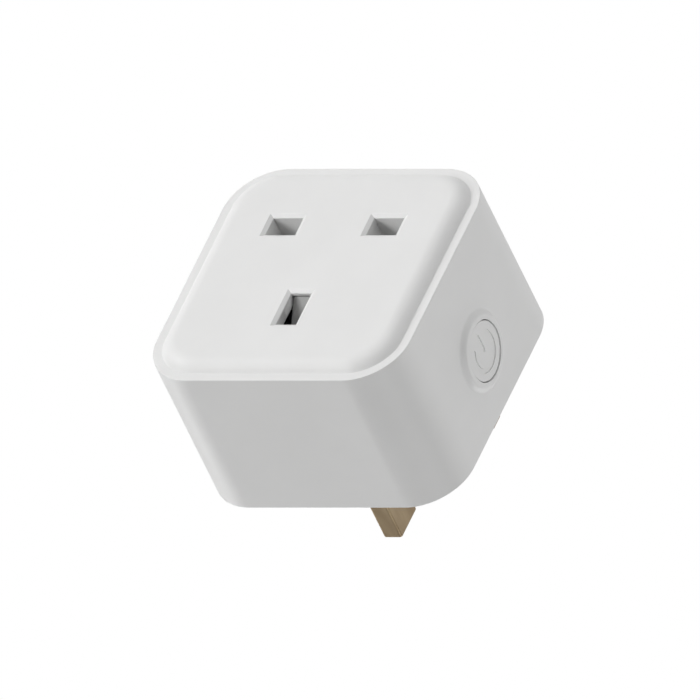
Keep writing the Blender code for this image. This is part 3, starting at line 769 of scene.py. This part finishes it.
def blanking_shutter():
    """The slide behind the holes: a bar across the line holes and the wedge in the earth hole."""
    low, high = span("shutter")
    front_y = WELL_END_Y + CLEAR
    back_y = high.y
    spine, wedge = 5.6, WEDGE_HALF
    wedge_low = EARTH.z - EARTH_HOLE[1] / 2 - 2.015
    bar_bottom = low.z + 1.1
    bar_top = bar_bottom + 6.0
    bar = [
        (low.x, bar_bottom),
        (high.x, bar_bottom),
        (high.x, bar_top),
        (spine, bar_top),
        (spine, wedge_low),
        (wedge, wedge_low + 3.0),
        (wedge, high.z),
    ]
    outline = bar + [(-x, z) for x, z in reversed(bar[2:])]
    slide = prism(outline, "Y", front_y, back_y)
    crest_z = EARTH.z - EARTH_HOLE[1] / 2
    ramp = [(back_y - 0.1, wedge_low), (low.y, wedge_low), (low.y, crest_z), (back_y - 0.1, high.z - 0.15)]
    add(slide, prism(ramp, "X", -wedge + 0.1, wedge - 0.1))
    add(slide, box((-2.4, 2.4), (front_y - 1.8, back_y - 0.1), (bar_bottom, bar_bottom + 1.6)))
    peg = [(0, 0), (0.5, 0), (0.7, -0.2), (0.7, -1.6), (0, -1.6)]
    add(slide, turned(peg, (0, front_y - 0.1, low.z), (0, 0, -1), 24))
    soften(slide, 0.12)
    # Its grey is painted shade for the dim holes, not the plastic's own colour.
    return finished(slide, "blanking_shutter", SHUTTER_PAINTED_SHADE, "shutter", "shutter", slot="shutter")


def shutter_coil():
    """The coil that lifts the shutter, its end turns closed up. In the plug it shortens as the shutter goes
    down; here it is one fixed shape.
    """
    low, high = span("shutter_spring")
    wire = 0.175
    radius = (high.x - low.x) / 2 - wire
    centre_y = (low.y + high.y) / 2
    bottom, top = low.z + wire, high.z - wire
    turns, per_turn = 6, 40
    points = []
    for k in range(turns * per_turn + 1):
        share = k / (turns * per_turn)
        angle = 2 * math.pi * turns * share
        height = bottom + (top - bottom) * (share - 0.09 * math.sin(2 * math.pi * share))
        points.append((radius * math.cos(angle), centre_y + radius * math.sin(angle), height))
    coil = finished(tube(points, wire), "shutter_coil", STEEL, "case", "shutter_spring", slot="steel")
    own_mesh(coil)


def softened(node, name, surface, slot, body="case", width=0.12, segments=2):
    """A CAD node's own shape with its edges rounded."""
    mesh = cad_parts[node].data.copy()
    mesh.transform(Matrix.Scale(1 / MM, 4))
    shape = bmesh.new()
    shape.from_mesh(mesh)
    bmesh.ops.remove_doubles(shape, verts=shape.verts, dist=0.001)
    bmesh.ops.dissolve_limit(shape, angle_limit=0.01, verts=shape.verts, edges=shape.edges)
    made = from_bmesh(name, shape)
    soften(made, width, 30, segments)
    return finished(made, name, surface, body, node, slot=slot)


def rounded_profile(corners, radius, steps=4):
    """A turned profile whose corners are rounded, except its first and last."""
    points = [corners[0]]
    for before, corner, after in zip(corners, corners[1:], corners[2:]):
        here = Vector(corner)
        back = Vector(before) - here
        on = Vector(after) - here
        reach = min(radius, back.length / 2.2, on.length / 2.2)
        start = here + back.normalized() * reach
        end = here + on.normalized() * reach
        for step in range(steps + 1):
            share = step / steps
            points.append(tuple(start.lerp(here, share).lerp(here.lerp(end, share), share)))
    points.append(corners[-1])
    return points


def wound(radius, low, high, pitch):
    """Profile points over one layer of round wire, from high down to low."""
    points = []
    count = round((high - low) / pitch)
    pitch = (high - low) / count
    for k in range(count):
        top = high - k * pitch
        for share in (0.0, 0.25, 0.5, 0.75):
            points.append((radius + pitch * 0.3 * math.sin(math.pi * share), top - share * pitch))
    points.append((radius, low))
    return points


def relay_parts():
    softened("relay_cover", "relay_can", RELAY_PLASTIC, "relay_case", width=0.35, segments=3)
    softened("relay_base", "relay_foot", BLACK_PLASTIC, "black_plastic")
    softened("relay_yoke", "relay_frame", IRON, "steel", width=0.1)
    softened("relay_armature", "relay_plate", IRON, "steel", "armature", width=0.1)
    low, high = span("relay_coil")
    centre = middle("relay_coil")
    length = high.y - low.y
    profile = [(0, length), (1.7, length), (1.8, length - 0.1), (1.8, length - 0.4), (4.5, length - 0.4)]
    profile += [(4.6, length - 0.5), (4.6, length - 1.2)] + wound(4.1, 0.8, length - 1.2, 0.3)
    profile += [(4.6, 0.8), (4.6, 0.1), (4.5, 0), (0, 0)]
    coil = turned(profile, (centre.x, high.y, centre.z), (0, -1, 0))
    iron, bobbin, wire = (0.5, 0.5, 0.5), (0.03, 0.03, 0.032), (0.5, 0.2, 0.08)
    bands = [(low.y - 0.1, iron), (low.y + 0.4, bobbin), (low.y + 1.2, wire), (high.y - 0.8, bobbin)]
    copper = banded("coil_wire", "Y", bands, high.y + 0.1, 0.35)
    finished(coil, "relay_winding", copper, "case", "relay_coil", slot="copper")


def capacitor(number):
    """An aluminium can in a printed sleeve that is shrunk over its rim."""
    node = f"capacitor_{number}"
    low, high = span(node)
    centre = middle(node)
    radius, height = (high.x - low.x) / 2, high.y - low.y
    top = height - 0.15
    corners = [(0, top), (radius * 0.72, top), (radius * 0.74, height), (radius, height)]
    corners += [(radius, 2.2), (radius - 0.4, 1.8), (radius, 1.4), (radius, 0), (0, 0)]
    can = turned(rounded_profile(corners, 0.35), (centre.x, high.y, centre.z), (0, -1, 0))
    score = 0.14
    reach = radius * 1.1
    depth = (low.y - 1, low.y + 0.27)
    cut(can, box(around(centre.x, reach), depth, around(centre.z, score)))
    cut(can, box(around(centre.x, score), depth, around(centre.z, reach)))
    aluminium, sleeve = (0.55, 0.55, 0.56), (0.025, 0.035, 0.09)
    bands = [(low.y - 0.1, sleeve), (low.y + 0.12, aluminium), (low.y + 0.19, sleeve)]
    wrapped = banded(node, "Y", bands, high.y, 0.35)
    finished(can, f"electrolytic_{number}", wrapped, "case", node, slot="capacitor")


def drum_inductor():
    low, high = span("inductor")
    centre = middle("inductor")
    height = high.y - low.y
    profile = [(0, height), (3.1, height), (3.2, height - 0.1), (3.2, height - 1.0), (2.5, height - 1.2)]
    profile += wound(2.4, 1.2, height - 1.2, 0.4) + [(3.2, 1.0), (3.2, 0.1), (3.1, 0), (0, 0)]
    drum = turned(profile, (centre.x, high.y, centre.z), (0, -1, 0))
    ferrite, wire = (0.05, 0.05, 0.052), (0.48, 0.2, 0.08)
    bands = [(low.y - 0.1, ferrite), (low.y + 1.2, wire), (high.y - 1.2, ferrite)]
    wound_ferrite = banded("inductor", "Y", bands, high.y, 0.5)
    finished(drum, "drum_inductor", wound_ferrite, "case", "inductor", slot="ferrite")


def fuse():
    """A wire-wound resistor that serves as the fuse, with its colour rings."""
    low, high = span("fuse_resistor")
    centre = middle("fuse_resistor")
    length, radius = high.x - low.x, (high.z - low.z) / 2
    corners = [(0, length), (radius, length), (radius, length - 1.4), (radius - 0.18, length - 1.9)]
    corners += [(radius - 0.18, 1.9), (radius, 1.4), (radius, 0), (0, 0)]
    body = turned(rounded_profile(corners, 0.4), (low.x, centre.y, centre.z), (1, 0, 0))
    grey, black, brown, gold = (0.33, 0.42, 0.38), (0.02, 0.02, 0.02), (0.16, 0.06, 0.02), (0.5, 0.36, 0.1)
    ring_width = 0.7
    bands = [(low.x, grey)]
    for start, colour in ((1.0, brown), (2.8, black), (4.4, black), (7.2, gold)):
        bands += [(low.x + start, colour), (low.x + start + ring_width, grey)]
    ringed = banded("fuse_rings", "X", bands, high.x, 0.5)
    finished(body, "fusible_resistor", ringed, "case", "fuse_resistor", slot="resistor")


def round_parts():
    low, high = span("varistor")
    centre = middle("varistor")
    half, radius = (high.z - low.z) / 2, (high.x - low.x) / 2
    upper = [(0, half), (radius - 0.6, half), (radius, half - 0.7)]
    corners = upper + [(across, -up) for across, up in reversed(upper)]
    disc = turned(rounded_profile(corners, 0.8), tuple(centre), (0, 0, 1))
    finished(disc, "varistor_disc", VARISTOR_EPOXY, "case", "varistor", slot="varistor")

    low, high = span("tact_plunger")
    centre = middle("tact_plunger")
    radius, length = (high.z - low.z) / 2, high.x - low.x
    corners = [(0, length), (radius, length), (radius, 0), (0, 0)]
    plunger = turned(rounded_profile(corners, 0.25), (high.x, centre.y, centre.z), (-1, 0, 0), 64)
    finished(plunger, "switch_plunger", STEEL, "plunger", "tact_plunger", slot="steel")


def inside():
    softened("contact_carrier", "carrier_frame", GREY_PLASTIC, "carrier")
    for contact in ("live", "neutral", "earth"):
        softened(f"{contact}_contact", f"{contact}_clip", BRONZE, "bronze", width=0.08)
    softened("main_circuit_board", "main_board", BOARD, "board", width=0.06, segments=1)
    softened("control_board", "button_board", BOARD, "board", width=0.06, segments=1)
    softened("wifi_module_board", "radio_board", BOARD, "board", width=0.05, segments=1)
    softened("wifi_shield_can", "radio_can", TIN, "steel", width=0.3, segments=3)
    softened("tact_switch_body", "switch_body", BLACK_PLASTIC, "black_plastic")
    softened("status_led", "indicator", LED_RESIN, "led", width=0.15)
    softened("bridge_rectifier", "rectifier", BLACK_PLASTIC, "black_plastic", width=0.25)
    relay_parts()
    capacitor(1)
    capacitor(2)
    drum_inductor()
    fuse()
    round_parts()


housing()
back_cover()
power_button()
plug_pin("earth_pin", 1.0)
for side in ("live", "neutral"):
    plug_pin(f"{side}_pin", 0.85)
    pin_sleeve(f"{side}_pin_sleeve")
for screw_node in SCREWS:
    screw(screw_node)
blanking_shutter()
shutter_coil()
inside()


# ---------------------------------------------------------------- floor, light and camera

FLOOR_GLOW = 0.763
WORLD_GLOW = 0.0
SUN_SOFTNESS = math.radians(30)
LEVEL = 0.02
SUNS = [
    ("key", (1, -1, LEVEL), 2.07),
    ("front", (0, -1, LEVEL), 0.5),
    ("side", (1, 1, LEVEL), 0.73),
    ("behind", (0, 1, LEVEL), 1.51),
    ("high_key", (1, -1, 1), 1.18),
    ("high_side", (1, 1, 1), 0.21),
    ("high_back", (0, 1, 1), 0.15),
    ("high_button_side", (-1, 0, 1), 0.81),
    ("high_button_back", (-1, 1, 1), 0.39),
]


def white_glow(tree, output, shader, strength):
    """Plain white to the camera, while everything else is lit by it at the strength given."""
    path = tree.nodes.new("ShaderNodeLightPath")
    mix = tree.nodes.new("ShaderNodeMixShader")
    tree.links.new(path.outputs["Is Camera Ray"], mix.inputs["Fac"])
    for level, socket in ((strength, 1), (1.0, 2)):
        glow = tree.nodes.new(shader)
        glow.inputs["Color"].default_value = (1, 1, 1, 1)
        glow.inputs["Strength"].default_value = level
        tree.links.new(glow.outputs[0], mix.inputs[socket])
    tree.links.new(mix.outputs["Shader"], tree.nodes[output].inputs["Surface"])


def studio():
    """A floor and a world that look plain white. The floor alone gives light, as a light table does."""
    half_width, drop = 4, 0.0005
    shape = bmesh.new()
    bmesh.ops.create_grid(shape, x_segments=1, y_segments=1, size=half_width)
    mesh = bpy.data.meshes.new("floor")
    shape.to_mesh(mesh)
    shape.free()
    floor = bpy.data.objects.new("floor", mesh)
    floor.location = (0, 0, cad_bounds[0].z - drop)
    bpy.context.scene.collection.objects.link(floor)
    paper = bpy.data.materials.new("floor_paper")
    paper.use_nodes = True
    white_glow(paper.node_tree, "Material Output", "ShaderNodeEmission", FLOOR_GLOW)
    mesh.materials.append(paper)

    world = bpy.data.worlds.new("studio")
    bpy.context.scene.world = world
    world.use_nodes = True
    white_glow(world.node_tree, "World Output", "ShaderNodeBackground", WORLD_GLOW)


def sun(name, towards, strength):
    """A soft light that shines from the direction given."""
    light = bpy.data.lights.new(name, "SUN")
    light.energy = strength
    light.angle = SUN_SOFTNESS
    lamp = bpy.data.objects.new(name, light)
    lamp.rotation_euler = Vector(towards).to_track_quat("Z", "Y").to_euler()
    bpy.context.scene.collection.objects.link(lamp)


def camera():
    """An orthographic view of the face, the button's side and the top, with the pins pointing down."""
    data = bpy.data.cameras.new("camera")
    data.type = "ORTHO"
    view_width = 133.588
    data.ortho_scale = view_width * MM
    data.clip_start = 0.01
    data.clip_end = 10
    view = bpy.data.objects.new("camera", data)
    back = Vector((-0.5, -0.6124, 0.6124)).normalized()
    up = Vector((0, -1, -1)).normalized()
    right = up.cross(back).normalized()
    turn = Matrix((right, up, back)).transposed()
    aim = Vector((-5.545, -21.95, 7.92)) * MM
    distance = 0.4
    view.matrix_world = Matrix.Translation(aim + back * distance) @ turn.to_4x4()
    bpy.context.scene.collection.objects.link(view)
    bpy.context.scene.camera = view


studio()
for light_name, towards, strength in SUNS:
    sun(light_name, towards, strength)
camera()
bpy.context.scene.view_settings.view_transform = "Standard"
